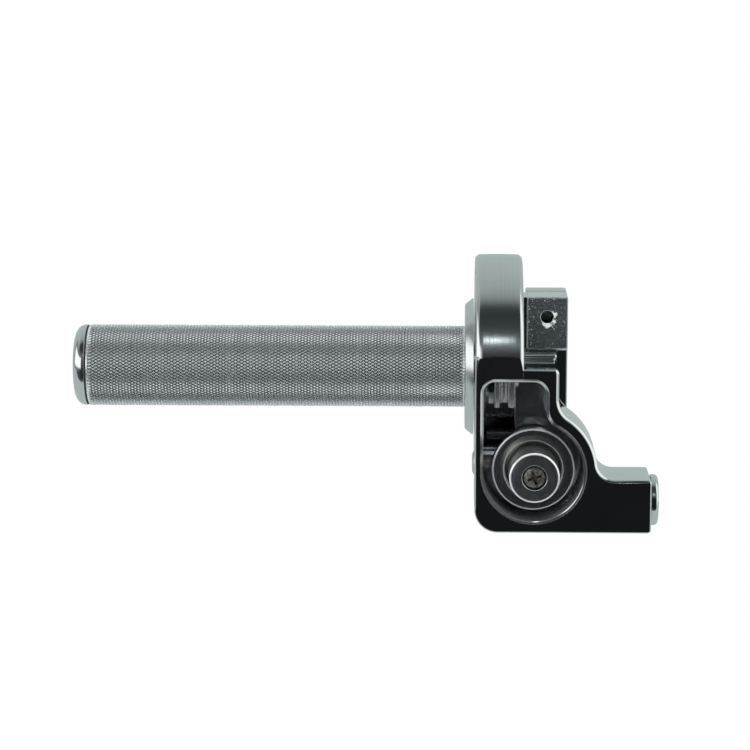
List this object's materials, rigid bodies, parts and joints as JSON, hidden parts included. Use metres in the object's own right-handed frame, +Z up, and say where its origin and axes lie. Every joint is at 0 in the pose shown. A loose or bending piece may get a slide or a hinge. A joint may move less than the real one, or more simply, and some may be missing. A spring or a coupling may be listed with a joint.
{
  "type": "throttle grip",
  "caption": "Twist throttle grip for a handlebar: a knurled tube turns a cable drum in a round collar, with a guide pulley, a cable adjuster and a bar clamp.",
  "frame": {"origin": "middle of the grip's flat end face, on the handlebar axis", "axes": "+X runs along the handlebar axis from the grip's closed end to the clamp, -Y is the side with the pulley window, +Z is up, with the arm and the cable at the bottom"},
  "size_m": [0.1927, 0.0826, 0.0857],
  "materials": {
    "housing": "polished",
    "collar_cover": "polished",
    "cover_screw_1": "plated",
    "cover_screw_2": "plated",
    "cover_screw_3": "plated",
    "cover_screw_4": "plated",
    "collar_bush": "satin",
    "clamp_cap": "polished",
    "clamp_bolt_upper": "plated",
    "clamp_bolt_lower": "plated",
    "pulley_hub": "polished",
    "pulley_screw": "plated",
    "pulley_washer_front": "plated",
    "pulley_washer_rear": "plated",
    "keeper_screw": "plated",
    "open_stop_pin": "plated",
    "closed_stop_pin": "plated",
    "thrust_washer_left": "satin",
    "thrust_washer_right": "satin",
    "grip_tube": "knurled, bare",
    "tube_flange": "polished",
    "tube_end_cap": "polished",
    "end_cap_seal": "matte",
    "cable_drum": "machined",
    "drum_set_screw_1": "black oxide",
    "drum_set_screw_2": "black oxide",
    "tube_bush_inner": "satin",
    "tube_bush_outer": "satin",
    "pulley_wheel": "polished",
    "pulley_bush": "sintered bronze",
    "adjuster_liner": "satin",
    "cable_adjuster": "polished"
  },
  "bodies": {
    "housing": {"housing": "housing", "collar_cover": "collar_cover", "cover_screw_1": "cover_screw_1", "cover_screw_2": "cover_screw_2", "cover_screw_3": "cover_screw_3", "cover_screw_4": "cover_screw_4", "collar_bush": "collar_bush", "clamp_cap": "clamp_cap", "clamp_bolt_upper": "clamp_bolt_upper", "clamp_bolt_lower": "clamp_bolt_lower", "pulley_hub": "pulley_hub", "pulley_screw": "pulley_screw", "pulley_washer_front": "pulley_washer_front", "pulley_washer_rear": "pulley_washer_rear", "keeper_screw": "keeper_screw", "open_stop_pin": "open_stop_pin", "closed_stop_pin": "closed_stop_pin", "thrust_washer_left": "thrust_washer_left", "thrust_washer_right": "thrust_washer_right"},
    "throttle_tube": {"grip_tube": "grip_tube", "tube_flange": "tube_flange", "tube_end_cap": "tube_end_cap", "end_cap_seal": "end_cap_seal", "cable_drum": "cable_drum", "drum_set_screw_1": "drum_set_screw_1", "drum_set_screw_2": "drum_set_screw_2", "tube_bush_inner": "tube_bush_inner", "tube_bush_outer": "tube_bush_outer"},
    "pulley": {"pulley_wheel": "pulley_wheel", "pulley_bush": "pulley_bush"},
    "adjuster_slider": {"adjuster_liner": "adjuster_liner"},
    "adjuster": {"cable_adjuster": "cable_adjuster"}
  },
  "joints": [
    {"name": "throttle_twist", "type": "hinge", "parent": "housing", "child": "throttle_tube", "pos_m": [0.133, 0, 0], "axis": [-1, 0, 0], "range_deg": [-75, 0]},
    {"name": "pulley_spin", "type": "hinge", "parent": "housing", "child": "pulley", "pos_m": [0.152, -0.0266, -0.0283], "axis": [0, 1, 0], "range_deg": [-176, 2]},
    {"name": "adjuster_turn", "type": "hinge", "parent": "adjuster_slider", "child": "adjuster", "pos_m": [0.191, -0.0246, -0.0396], "axis": [1, 0, 0], "range_deg": [0, 1440]},
    {"name": "adjuster_travel", "type": "slide", "parent": "housing", "child": "adjuster_slider", "axis": [1, 0, 0], "range_m": [0, 0.0051]}
  ],
  "couplings": [
    {"joint": "pulley_spin", "follows": "throttle_twist", "ratio": 2.3207},
    {"joint": "adjuster_travel", "follows": "adjuster_turn", "m_per_rad": 0.00019894}
  ]
}
